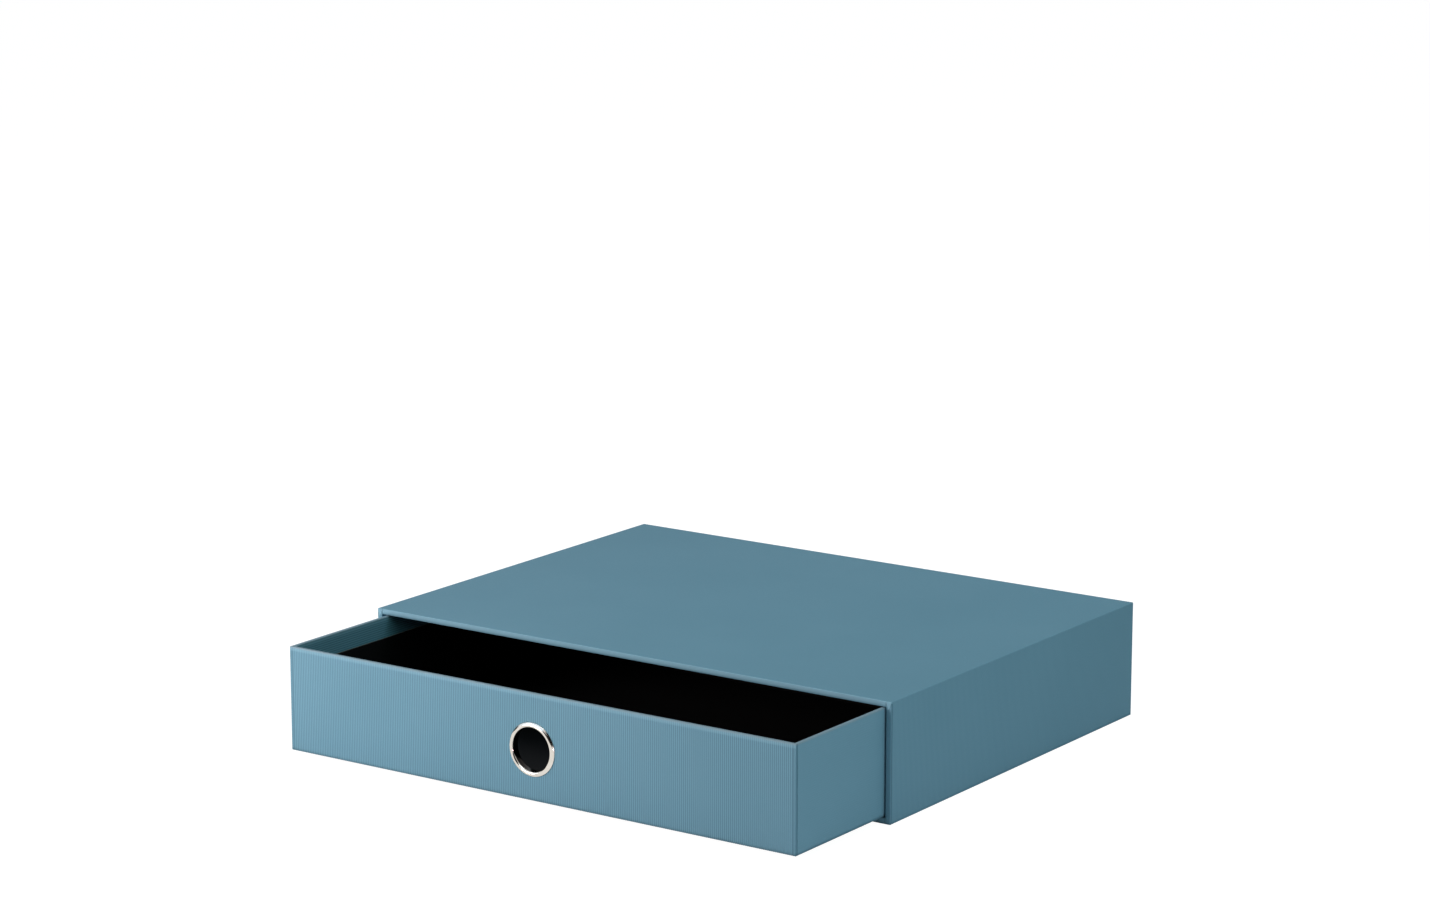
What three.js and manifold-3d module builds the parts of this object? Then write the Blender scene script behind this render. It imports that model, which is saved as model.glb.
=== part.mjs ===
// File box with drawer: a sleeve of paper-wrapped board, open at the front, and a wrapped drawer in it.
// Millimetres. +X is right seen from the front, +Y is the back, +Z is up.
// The origin is the centre of the face that the sleeve stands on.

import * as THREE from 'three';
import { mergeVertices, toCreasedNormals } from 'three/addons/utils/BufferGeometryUtils.js';
import Module from 'manifold-3d';

// Sheets that every wall is made up of
const coverPaper = 0.3;
const liningPaper = 0.35;
const glueFilm = 0.05;
const paperJoint = 0.3;
const creaseRadius = 0.1;

// Sleeve
const sleeveWidth = 335;
const sleeveDepth = 250;
const sleeveHeight = 65;
const sleeveBoard = 2.4;
const sleeveLongEdgeRadius = 0.85;
const sleeveMouthRadius = 0.7;
const sleeveMouthInnerRadius = 0.35;
const sleeveBackRadius = 0.65;
const sleeveTurnIn = 15;
const sleeveTurnOver = 12;
const sleeveSeamInset = 20;
const sheetMargin = 2.5;
const sheetStepRun = 0.8;

// Drawer, and its running clearances in the sleeve
const drawerBoard = 1.5;
const drawerSideGap = 1.6;
const drawerShiftShare = 0.4; // of the side gap, to the right
const drawerFloorGap = 0.6;
const drawerTopGap = 0.35;
const drawerBackGap = 0.8;
const drawerOpening = 80;
const drawerCornerRadius = 0.75;
const drawerFloorRadius = 0.75;
const drawerRimRadius = 0.6;
const fingerHoleDrop = 1.3;
const turnInRingClearance = 3.9;
const drawerSeamInset = 2.6;

// Ribs pressed into the drawer's cover sheet, parted by V grooves
const ribPitch = 1.18;
const ribGrooveWidth = 0.6;
const ribGrooveDepth = 0.1;

// Finger ring: a sheet-metal eyelet clinched over a washer
const ringBore = 23.8;
const ringFlangeWidth = 2.7;
const ringMetal = 0.5;
const ringDome = 1.3;
const ringCurlRadius = 0.65;
const ringHoleClearance = 0.25;
const ringSeatGap = 0.05;
const washerThickness = 0.5;

// Facets
const foldSteps = 4;
const cornerSteps = 3;
const roundSteps = 48;
const cutOverrun = 5;
const creaseAngle = Math.PI / 6;

// Sizes that follow from those above
const wrap = coverPaper + glueFilm;
const sleeveWall = sleeveBoard + 2 * wrap;
const sleeveLinedWall = wrap + sleeveBoard + glueFilm + liningPaper;
const tubeHeight = sleeveHeight - wrap;
const tubeDepth = sleeveDepth - wrap;
const tubeCentreZ = wrap + tubeHeight / 2;
const mouthY = -sleeveDepth / 2;

const drawerWall = drawerBoard + 2 * wrap;
const drawerWidth = sleeveWidth - 2 * (sleeveLinedWall + drawerSideGap);
const drawerHeight = tubeHeight - 2 * sleeveLinedWall - drawerFloorGap - drawerTopGap;
const drawerDepth = tubeDepth - sleeveLinedWall - drawerBackGap;
const drawerBottomZ = wrap + sleeveLinedWall + drawerFloorGap;
const drawerCentreX = drawerShiftShare * drawerSideGap;
const drawerCentreY = mouthY + drawerDepth / 2 - drawerOpening;

const ringOuterRadius = ringBore / 2 + ringFlangeWidth;
const barrelRadius = ringBore / 2 + ringMetal;
const fingerHoleRadius = barrelRadius + ringHoleClearance;
const fingerHoleZ = drawerHeight / 2 - fingerHoleDrop;
const drawerTurnIn = drawerHeight - fingerHoleZ - ringOuterRadius - turnInRingClearance;

const wasm = await Module();
wasm.setup();

const materials = {
  coverPaper: new THREE.MeshStandardMaterial({ color: 0x6d9bb0, roughness: 0.7, metalness: 0 }),
  board: new THREE.MeshStandardMaterial({ color: 0x9a958c, roughness: 0.95, metalness: 0 }),
  liningPaper: new THREE.MeshStandardMaterial({ color: 0x0b0b0c, roughness: 0.85, metalness: 0 }),
  nickel: new THREE.MeshStandardMaterial({ color: 0xd8d3ca, roughness: 0.2, metalness: 1 }),
};

// Solids for joining and cutting

function toSolid(geometry) {
  const bare = geometry.clone();
  bare.deleteAttribute('normal');
  bare.deleteAttribute('uv');
  const merged = mergeVertices(bare);
  const mesh = new wasm.Mesh({
    numProp: 3,
    vertProperties: new Float32Array(merged.attributes.position.array),
    triVerts: new Uint32Array(merged.index.array),
  });
  return new wasm.Manifold(mesh);
}

function toGeometry(solid) {
  const mesh = solid.getMesh();
  const geometry = new THREE.BufferGeometry();
  geometry.setAttribute('position', new THREE.BufferAttribute(new Float32Array(mesh.vertProperties), 3));
  geometry.setIndex(new THREE.BufferAttribute(new Uint32Array(mesh.triVerts), 1));
  return geometry;
}

// A block between two corners
function block(low, high) {
  const size = new THREE.Vector3().subVectors(high, low);
  const centre = new THREE.Vector3().addVectors(low, high).multiplyScalar(0.5);
  const geometry = new THREE.BoxGeometry(size.x, size.y, size.z);
  geometry.translate(centre.x, centre.y, centre.z);
  return geometry;
}

// An outline pushed along an axis: u, v are y, z along x; z, x along y; and x, y along z
function prism(outline, axis, from, to) {
  const unitX = new THREE.Vector3(1, 0, 0);
  const unitY = new THREE.Vector3(0, 1, 0);
  const unitZ = new THREE.Vector3(0, 0, 1);
  const frames = {
    x: [unitY, unitZ, unitX],
    y: [unitZ, unitX, unitY],
    z: [unitX, unitY, unitZ],
  };
  const geometry = new THREE.ExtrudeGeometry(new THREE.Shape(outline), { depth: to - from, bevelEnabled: false });
  geometry.translate(0, 0, from);
  geometry.applyMatrix4(new THREE.Matrix4().makeBasis(...frames[axis]));
  return geometry;
}

// A symmetrical trapezoid about the v axis, half as wide as halfBase at base and drawn in by 45 degrees
function mitreOutline(halfBase, base, reach) {
  const drawnIn = halfBase - Math.abs(reach);
  return [
    new THREE.Vector2(-halfBase, base),
    new THREE.Vector2(halfBase, base),
    new THREE.Vector2(drawnIn, base + reach),
    new THREE.Vector2(-drawnIn, base + reach),
  ];
}

// The same outline with its two axes changed over
function turned(outline) {
  return outline.map((point) => new THREE.Vector2(point.y, point.x));
}

// Lofts of rounded rectangles: a section point's x is its inset from the outer faces, its y the way along

function arc(centreInset, centreAlong, radius, startDegrees, endDegrees) {
  const points = [];
  for (let step = 0; step <= foldSteps; step += 1) {
    const degrees = THREE.MathUtils.lerp(startDegrees, endDegrees, step / foldSteps);
    const angle = THREE.MathUtils.degToRad(degrees);
    const inset = centreInset + radius * Math.cos(angle);
    const along = centreAlong + radius * Math.sin(angle);
    points.push(new THREE.Vector2(inset, along));
  }
  return points;
}

function roundedRing(halfU, halfV, radius) {
  const ring = [];
  const corners = [[1, 1], [-1, 1], [-1, -1], [1, -1]];
  corners.forEach(([sideU, sideV], quarter) => {
    for (let step = 0; step <= cornerSteps; step += 1) {
      const angle = (quarter + step / cornerSteps) * Math.PI / 2;
      const u = sideU * (halfU - radius) + radius * Math.cos(angle);
      const v = sideV * (halfV - radius) + radius * Math.sin(angle);
      ring.push(new THREE.Vector2(u, v));
    }
  });
  return ring;
}

// body: halfU, halfV and cornerRadius of the outer faces, and place(u, v, along) into the model's axes
function loft(section, body, closed) {
  const positions = [];
  const kept = section.filter((point, i) => i === 0 || point.distanceTo(section[i - 1]) > Number.EPSILON);
  for (const point of kept) {
    const radius = Math.max(body.cornerRadius - point.x, creaseRadius);
    for (const corner of roundedRing(body.halfU - point.x, body.halfV - point.x, radius)) {
      positions.push(...body.place(corner.x, corner.y, point.y));
    }
  }
  const ringCount = kept.length;
  const ringSize = positions.length / 3 / ringCount;
  const triangles = [];
  const bands = closed ? ringCount : ringCount - 1;
  for (let band = 0; band < bands; band += 1) {
    const here = band * ringSize;
    const next = ((band + 1) % ringCount) * ringSize;
    for (let i = 0; i < ringSize; i += 1) {
      const j = (i + 1) % ringSize;
      triangles.push([here + i, here + j, next + j], [here + i, next + j, next + i]);
    }
  }
  if (!closed) {
    const last = (ringCount - 1) * ringSize;
    for (let i = 1; i < ringSize - 1; i += 1) {
      triangles.push([0, i + 1, i], [last, last + i, last + i + 1]);
    }
  }
  return facedOut(positions, triangles);
}

// Turns every triangle over if the volume they enclose comes out negative
function facedOut(positions, triangles) {
  const corner = (index) => new THREE.Vector3().fromArray(positions, 3 * index);
  const volume = triangles.reduce((sum, [a, b, c]) => sum + corner(a).dot(corner(b).cross(corner(c))), 0);
  const ordered = volume < 0 ? triangles.map(([a, b, c]) => [a, c, b]) : triangles;
  const geometry = new THREE.BufferGeometry();
  geometry.setAttribute('position', new THREE.Float32BufferAttribute(positions, 3));
  geometry.setIndex(ordered.flat());
  return geometry;
}

// The sheet section is closed by its outer line and, one paper in, the same line back again
function sheetSection(lineAt) {
  return [...lineAt(0), ...lineAt(coverPaper).reverse()];
}

// Sleeve

const tube = {
  halfU: sleeveWidth / 2,
  halfV: tubeHeight / 2,
  cornerRadius: sleeveLongEdgeRadius + wrap,
  place: (u, v, along) => [u, mouthY + along, tubeCentreZ + v],
};

// The wrapped wall's line at a depth under the paper's outer face, from the back edge round to the inside
function sleeveLine(depth) {
  const back = sleeveBackRadius + wrap;
  const mouth = sleeveMouthRadius + wrap;
  const inner = sleeveMouthInnerRadius + wrap;
  return [
    ...arc(back, tubeDepth - back, back - depth, 90, 180),
    ...arc(mouth, mouth, mouth - depth, 180, 270),
    ...arc(sleeveWall - inner, inner, inner - depth, 270, 360),
  ];
}

function sleeveCoverLine(depth) {
  return [
    new THREE.Vector2(sleeveTurnOver, tubeDepth - depth),
    ...sleeveLine(depth),
    new THREE.Vector2(sleeveWall - depth, sleeveTurnIn),
  ];
}

// Slits where the turned-in flaps of the top and the base end at the side walls
function mouthCornerSlits() {
  const slits = [];
  const flapEnd = sleeveWidth / 2 - sleeveWall;
  for (const side of [-1, 1]) {
    const edges = [side * (flapEnd - paperJoint), side * flapEnd];
    const lowX = Math.min(...edges);
    const highX = Math.max(...edges);
    for (const level of [-1, 1]) {
      const outside = tubeCentreZ + level * (tubeHeight / 2 + cutOverrun);
      const inside = tubeCentreZ + level * (tubeHeight / 2 - sleeveWall - paperJoint);
      const underFlap = tubeCentreZ + level * (tubeHeight / 2 - sleeveWall + wrap);
      slits.push(block(
        new THREE.Vector3(lowX, mouthY - cutOverrun, Math.min(outside, inside)),
        new THREE.Vector3(highX, mouthY + coverPaper, Math.max(outside, inside)),
      ));
      slits.push(block(
        new THREE.Vector3(lowX, mouthY - cutOverrun, Math.min(underFlap, inside)),
        new THREE.Vector3(highX, mouthY + sleeveTurnIn + cutOverrun, Math.max(underFlap, inside)),
      ));
    }
  }
  return slits;
}

// The sheets that go right round meet under the base, where the base sheet hides the joint
function baseSeam() {
  const seamX = -sleeveWidth / 2 + sleeveSeamInset;
  return block(
    new THREE.Vector3(seamX, mouthY - cutOverrun, -cutOverrun),
    new THREE.Vector3(seamX + paperJoint, mouthY + sleeveDepth + cutOverrun, wrap + sleeveWall + paperJoint),
  );
}

function sleeveCover() {
  let sheet = toSolid(loft(sheetSection(sleeveCoverLine), tube, true));
  for (const cut of [...mouthCornerSlits(), baseSeam()]) {
    sheet = sheet.subtract(toSolid(cut));
  }
  return toGeometry(sheet);
}

// Four mitred boards cut from one board tube, as the folded and grooved board has them
function sleeveBoards() {
  const backCorner = new THREE.Vector2(sleeveWall - wrap, tubeDepth - wrap);
  const boardTube = toSolid(loft([...sleeveLine(wrap), backCorner], tube, true));
  const halfWidth = sleeveWidth / 2 - glueFilm;
  const halfHeight = tubeHeight / 2 - glueFilm;
  const reach = 2 * sleeveWall;
  const outlines = {
    top: turned(mitreOutline(halfWidth, tubeHeight / 2, -reach)),
    bottom: turned(mitreOutline(halfWidth, -tubeHeight / 2, reach)),
    left: mitreOutline(halfHeight, -sleeveWidth / 2, reach),
    right: mitreOutline(halfHeight, sleeveWidth / 2, -reach),
  };
  const boards = {};
  for (const [name, outline] of Object.entries(outlines)) {
    const wedge = prism(outline, 'y', mouthY - cutOverrun, mouthY + sleeveDepth + cutOverrun);
    wedge.translate(0, 0, tubeCentreZ);
    boards[name] = toGeometry(boardTube.intersect(toSolid(wedge)));
  }
  return boards;
}

function sleeveBackBoard() {
  const inset = wrap + sleeveBoard + glueFilm;
  const backFace = mouthY + tubeDepth - wrap;
  return block(
    new THREE.Vector3(-sleeveWidth / 2 + inset, backFace - sleeveBoard, tubeCentreZ - tubeHeight / 2 + inset),
    new THREE.Vector3(sleeveWidth / 2 - inset, backFace, tubeCentreZ + tubeHeight / 2 - inset),
  );
}

function sleeveBasePaper() {
  return block(
    new THREE.Vector3(-sleeveWidth / 2 + sheetMargin, mouthY + sheetMargin, 0),
    new THREE.Vector3(sleeveWidth / 2 - sheetMargin, mouthY + sleeveDepth - sheetMargin, coverPaper),
  );
}

// The back sheet lies over the turned-over edges and steps down to the board inside them
function sleeveBackPaper() {
  const stepStart = sleeveTurnOver + paperJoint;
  const stepEnd = stepStart + sheetStepRun;
  const face = (along) => [
    new THREE.Vector2(stepEnd, along - wrap),
    new THREE.Vector2(stepStart, along),
    new THREE.Vector2(sheetMargin, along),
  ];
  return loft([...face(sleeveDepth), ...face(sleeveDepth - coverPaper).reverse()], tube, false);
}

// The black lining tube, from the turned-in edge to the back
function sleeveLining() {
  const outside = wrap + sleeveBoard + glueFilm;
  const inside = outside + liningPaper;
  const start = sleeveTurnIn + paperJoint;
  const end = tubeDepth - sleeveLinedWall - glueFilm;
  const section = [
    new THREE.Vector2(outside, start),
    new THREE.Vector2(inside, start),
    new THREE.Vector2(inside, end),
    new THREE.Vector2(outside, end),
  ];
  const sheet = toSolid(loft(section, tube, true));
  return toGeometry(sheet.subtract(toSolid(baseSeam())));
}

function sleeveBackLining() {
  const inset = wrap + sleeveBoard + 2 * glueFilm;
  const backFace = mouthY + tubeDepth - wrap - sleeveBoard - glueFilm;
  return block(
    new THREE.Vector3(-sleeveWidth / 2 + inset, backFace - liningPaper, tubeCentreZ - tubeHeight / 2 + inset),
    new THREE.Vector3(sleeveWidth / 2 - inset, backFace, tubeCentreZ + tubeHeight / 2 - inset),
  );
}

// Drawer, in axes of its own: the origin is the centre of its underside

const tray = {
  halfU: drawerWidth / 2,
  halfV: drawerDepth / 2,
  cornerRadius: drawerCornerRadius + wrap,
  place: (u, v, along) => [u, v, along],
};

// The wrapped wall's line at a depth under the paper's outer face, from the underside over the rim
function drawerLine(depth) {
  const floor = drawerFloorRadius + wrap;
  const rim = Math.min(drawerRimRadius, drawerBoard / 2) + wrap;
  return [
    ...arc(floor, floor, floor - depth, 270, 180),
    ...arc(rim, drawerHeight - rim, rim - depth, 180, 90),
    ...arc(drawerWall - rim, drawerHeight - rim, rim - depth, 90, 0),
  ];
}

function drawerCoverLine(depth) {
  return [
    ...drawerLine(depth),
    new THREE.Vector2(drawerWall - depth, drawerHeight - drawerTurnIn),
  ];
}

// Joints on the side walls, where the front and back flaps come round the corners
function cornerSeams() {
  const seams = [];
  for (const side of [-1, 1]) {
    for (const end of [-1, 1]) {
      const wallX = [drawerWidth / 2 - drawerWall - cutOverrun, drawerWidth / 2 + cutOverrun].map((x) => side * x);
      const seamStart = drawerDepth / 2 - drawerSeamInset;
      const seamY = [seamStart - paperJoint, seamStart].map((y) => end * y);
      seams.push(block(
        new THREE.Vector3(Math.min(...wallX), Math.min(...seamY), drawerFloorRadius + wrap),
        new THREE.Vector3(Math.max(...wallX), Math.max(...seamY), drawerHeight + cutOverrun),
      ));
    }
  }
  return seams;
}

// The finger hole's core, long enough to pass the front wall and its papers
function fingerHoleCore() {
  const length = drawerWall + 2 * cutOverrun;
  const core = new THREE.CylinderGeometry(fingerHoleRadius, fingerHoleRadius, length, roundSteps);
  core.translate(0, -drawerDepth / 2 + drawerWall / 2, fingerHoleZ);
  return core;
}

// A comb that leaves ribs between its teeth: outward is 1 or -1, the side of the face that its back is on
function ribComb(start, end, face, outward) {
  const ribCount = Math.floor((end - start) / ribPitch);
  const first = (start + end - ribCount * ribPitch) / 2;
  const last = first + ribCount * ribPitch;
  const root = face + outward * ribGrooveDepth * (ribPitch / ribGrooveWidth - 1);
  const tip = face - outward * ribGrooveDepth;
  const outline = [
    new THREE.Vector2(last, face + outward * cutOverrun),
    new THREE.Vector2(first, face + outward * cutOverrun),
  ];
  for (let rib = 0; rib < ribCount; rib += 1) {
    const left = first + rib * ribPitch;
    outline.push(new THREE.Vector2(left, root), new THREE.Vector2(left + ribPitch / 2, tip));
  }
  outline.push(new THREE.Vector2(last, root));
  return outline;
}

// The sheet's ribs run front to back, so they stand upright on the front and lie level on the sides
function ribGrooves() {
  const lowZ = drawerFloorRadius + wrap;
  const highZ = drawerHeight - drawerRimRadius - wrap;
  const sideX = drawerWidth / 2;
  const frontX = sideX - tray.cornerRadius;
  const seamMiddle = drawerDepth / 2 - drawerSeamInset - paperJoint / 2;
  return [
    prism(ribComb(-frontX, frontX, -drawerDepth / 2, -1), 'z', lowZ, highZ),
    prism(ribComb(lowZ, highZ, -sideX, -1), 'y', -seamMiddle, seamMiddle),
    prism(ribComb(lowZ, highZ, sideX, 1), 'y', -seamMiddle, seamMiddle),
  ];
}

function drawerCover() {
  let sheet = toSolid(loft(sheetSection(drawerCoverLine), tray, false));
  for (const cut of [...cornerSeams(), fingerHoleCore(), ...ribGrooves()]) {
    sheet = sheet.subtract(toSolid(cut));
  }
  return toGeometry(sheet);
}

// The drawer floor's mitred wedge, its sloping sides drawn in from the drawer's bottom edges
function floorWedge(drawnIn) {
  const reach = 2 * drawerWall;
  const across = turned(mitreOutline(drawerWidth / 2 - drawnIn, 0, reach));
  const alongside = mitreOutline(drawerDepth / 2 - drawnIn, 0, reach);
  const acrossPrism = prism(across, 'y', -drawerDepth, drawerDepth);
  const alongPrism = prism(alongside, 'x', -drawerWidth, drawerWidth);
  return toSolid(acrossPrism).intersect(toSolid(alongPrism));
}

// Five mitred boards cut from one board tray
function drawerBoards() {
  const innerFoot = new THREE.Vector2(drawerWall - wrap, wrap + drawerBoard);
  const boardTray = toSolid(loft([...drawerLine(wrap), innerFoot], tray, false));
  const boards = { bottom: toGeometry(boardTray.intersect(floorWedge(glueFilm))) };
  const walls = boardTray.subtract(floorWedge(0)).subtract(toSolid(fingerHoleCore()));
  const reach = 2 * drawerWall;
  const halfWidth = drawerWidth / 2 - glueFilm;
  const halfDepth = drawerDepth / 2 - glueFilm;
  const plans = {
    front: mitreOutline(halfWidth, -drawerDepth / 2, reach),
    back: mitreOutline(halfWidth, drawerDepth / 2, -reach),
    left: turned(mitreOutline(halfDepth, -drawerWidth / 2, reach)),
    right: turned(mitreOutline(halfDepth, drawerWidth / 2, -reach)),
  };
  for (const [name, plan] of Object.entries(plans)) {
    const wedge = prism(plan, 'z', -cutOverrun, drawerHeight + cutOverrun);
    boards[name] = toGeometry(walls.intersect(toSolid(wedge)));
  }
  return boards;
}

function drawerFloorLining() {
  const inset = wrap + drawerBoard + glueFilm;
  const floorZ = wrap + drawerBoard + glueFilm;
  return block(
    new THREE.Vector3(-drawerWidth / 2 + inset, -drawerDepth / 2 + inset, floorZ),
    new THREE.Vector3(drawerWidth / 2 - inset, drawerDepth / 2 - inset, floorZ + liningPaper),
  );
}

// The black strip round the inside of the walls, joined in a back corner
function drawerWallLining() {
  const outside = wrap + drawerBoard + glueFilm;
  const inside = outside + liningPaper;
  const foot = wrap + drawerBoard + 2 * glueFilm + liningPaper;
  const head = drawerHeight - drawerTurnIn - paperJoint;
  const section = [
    new THREE.Vector2(outside, foot),
    new THREE.Vector2(inside, foot),
    new THREE.Vector2(inside, head),
    new THREE.Vector2(outside, head),
  ];
  const seamX = -drawerWidth / 2 + inside;
  const seam = block(
    new THREE.Vector3(seamX, 0, -cutOverrun),
    new THREE.Vector3(seamX + paperJoint, drawerDepth, drawerHeight),
  );
  const sheet = toSolid(loft(section, tray, true));
  return toGeometry(sheet.subtract(toSolid(seam)).subtract(toSolid(fingerHoleCore())));
}

// Finger ring, turned about the hole's axis: y 0 is the cover's front face and +Y runs into the drawer

function offsetOutline(centreLine, thickness) {
  const sides = [[], []];
  centreLine.forEach((point, i) => {
    const before = centreLine[Math.max(i - 1, 0)];
    const after = centreLine[Math.min(i + 1, centreLine.length - 1)];
    const along = new THREE.Vector2().subVectors(after, before).normalize();
    const across = new THREE.Vector2(-along.y, along.x).multiplyScalar(thickness / 2);
    sides[0].push(new THREE.Vector2().addVectors(point, across));
    sides[1].push(new THREE.Vector2().subVectors(point, across));
  });
  const outline = [...sides[1], ...sides[0].reverse()];
  outline.push(outline[0].clone());
  return outline;
}

function fingerRing() {
  const domeSteps = 2 * foldSteps;
  const rimRadius = ringOuterRadius - ringMetal / 2;
  const boreRadius = ringBore / 2 + ringMetal / 2;
  const domeMiddle = (rimRadius + boreRadius) / 2;
  const domeHalf = (rimRadius - boreRadius) / 2;
  const linedWall = wrap + drawerBoard + glueFilm + liningPaper;
  const washerBack = linedWall + ringSeatGap + washerThickness;
  const curlStart = washerBack + ringSeatGap + ringMetal / 2;
  const centreLine = [];
  for (let step = 0; step <= domeSteps; step += 1) {
    const angle = Math.PI * step / domeSteps;
    const r = domeMiddle + domeHalf * Math.cos(angle);
    const y = -ringSeatGap - (ringDome - ringMetal / 2) * Math.sin(angle);
    centreLine.push(new THREE.Vector2(r, y));
  }
  for (let step = 0; step <= domeSteps; step += 1) {
    const angle = Math.PI * (1 - step / domeSteps);
    const r = boreRadius + ringCurlRadius + ringCurlRadius * Math.cos(angle);
    const y = curlStart + ringCurlRadius * Math.sin(angle);
    centreLine.push(new THREE.Vector2(r, y));
  }
  return new THREE.LatheGeometry(offsetOutline(centreLine, ringMetal), roundSteps);
}

function ringWasher() {
  const inner = barrelRadius + ringSeatGap;
  const outer = ringOuterRadius - ringSeatGap;
  const outline = [
    new THREE.Vector2(inner, 0),
    new THREE.Vector2(outer, 0),
    new THREE.Vector2(outer, washerThickness),
    new THREE.Vector2(inner, washerThickness),
    new THREE.Vector2(inner, 0),
  ];
  return new THREE.LatheGeometry(outline, roundSteps);
}

// Assembly

function piece(name, geometry, material) {
  const shaped = geometry.attributes.normal ? geometry : toCreasedNormals(geometry, creaseAngle);
  const mesh = new THREE.Mesh(shaped, material);
  mesh.name = name;
  return mesh;
}

function sleeve() {
  const group = new THREE.Group();
  for (const [name, geometry] of Object.entries(sleeveBoards())) {
    group.add(piece(`sleeve_${name}_board`, geometry, materials.board));
  }
  group.add(
    piece('sleeve_back_board', sleeveBackBoard(), materials.board),
    piece('sleeve_cover_paper', sleeveCover(), materials.coverPaper),
    piece('sleeve_base_paper', sleeveBasePaper(), materials.coverPaper),
    piece('sleeve_back_paper', sleeveBackPaper(), materials.coverPaper),
    piece('sleeve_lining_paper', sleeveLining(), materials.liningPaper),
    piece('sleeve_back_lining', sleeveBackLining(), materials.liningPaper),
  );
  return group;
}

function drawer() {
  const group = new THREE.Group();
  for (const [name, geometry] of Object.entries(drawerBoards())) {
    group.add(piece(`drawer_${name}_board`, geometry, materials.board));
  }
  group.add(
    piece('drawer_cover_paper', drawerCover(), materials.coverPaper),
    piece('drawer_floor_lining', drawerFloorLining(), materials.liningPaper),
    piece('drawer_wall_lining', drawerWallLining(), materials.liningPaper),
  );
  const ring = piece('finger_ring', fingerRing(), materials.nickel);
  ring.position.set(0, -drawerDepth / 2, fingerHoleZ);
  const washer = piece('finger_ring_washer', ringWasher(), materials.nickel);
  const liningFace = wrap + drawerBoard + glueFilm + liningPaper;
  washer.position.set(0, -drawerDepth / 2 + liningFace + ringSeatGap, fingerHoleZ);
  group.add(ring, washer);
  group.position.set(drawerCentreX, drawerCentreY, drawerBottomZ);
  return group;
}

const fileBox = new THREE.Group();
fileBox.add(sleeve(), drawer());

export default fileBox;
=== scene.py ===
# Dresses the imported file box: ribbed cover paper, black lining, nickel finger ring, and a plain studio.
import math

import bmesh
import bpy
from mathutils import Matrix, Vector


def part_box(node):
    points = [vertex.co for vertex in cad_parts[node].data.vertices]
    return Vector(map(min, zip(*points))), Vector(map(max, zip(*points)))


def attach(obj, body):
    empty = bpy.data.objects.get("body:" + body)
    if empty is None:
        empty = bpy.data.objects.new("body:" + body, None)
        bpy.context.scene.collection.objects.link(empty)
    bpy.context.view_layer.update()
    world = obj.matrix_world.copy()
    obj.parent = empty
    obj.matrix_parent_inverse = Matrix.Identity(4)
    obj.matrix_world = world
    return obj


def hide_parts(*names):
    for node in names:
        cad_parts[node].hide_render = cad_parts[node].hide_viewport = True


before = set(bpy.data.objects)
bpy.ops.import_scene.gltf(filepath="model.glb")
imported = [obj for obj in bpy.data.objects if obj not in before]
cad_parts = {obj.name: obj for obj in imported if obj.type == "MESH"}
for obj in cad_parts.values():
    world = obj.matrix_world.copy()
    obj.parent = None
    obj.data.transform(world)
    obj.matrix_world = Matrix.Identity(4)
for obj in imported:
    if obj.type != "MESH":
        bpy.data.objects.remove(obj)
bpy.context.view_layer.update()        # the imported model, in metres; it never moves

mm = 0.001
hair = 0.01 * mm         # what counts as the same place
weld = 0.001 * mm        # points nearer than this are merged
facing = 0.9             # a normal that reaches this far along an axis faces that way
straight = 0.9999        # share of its length that an edge parallel to an axis spans
smoothDegrees = 30       # folds that turn less than this at an edge look smooth
white = (1, 1, 1, 1)


# Shader helpers

class Wire:
    # A shader socket that takes part in Python sums
    def __init__(self, tree, socket):
        self.tree = tree
        self.socket = socket

    def combine(self, operation, first, second):
        node = self.tree.nodes.new("ShaderNodeMath")
        node.operation = operation
        for slot, value in zip(node.inputs, (first, second)):
            if isinstance(value, Wire):
                self.tree.links.new(value.socket, slot)
            else:
                slot.default_value = value
        return Wire(self.tree, node.outputs[0])

    def __add__(self, other):
        return self.combine("ADD", self, other)

    def __radd__(self, other):
        return self.combine("ADD", other, self)

    def __sub__(self, other):
        return self.combine("SUBTRACT", self, other)

    def __rsub__(self, other):
        return self.combine("SUBTRACT", other, self)

    def __mul__(self, other):
        return self.combine("MULTIPLY", self, other)

    def __rmul__(self, other):
        return self.combine("MULTIPLY", other, self)

    def __gt__(self, other):
        return self.combine("GREATER_THAN", self, other)

    def __lt__(self, other):
        return self.combine("LESS_THAN", self, other)

    def __abs__(self):
        return self.combine("ABSOLUTE", self, 0)


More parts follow.
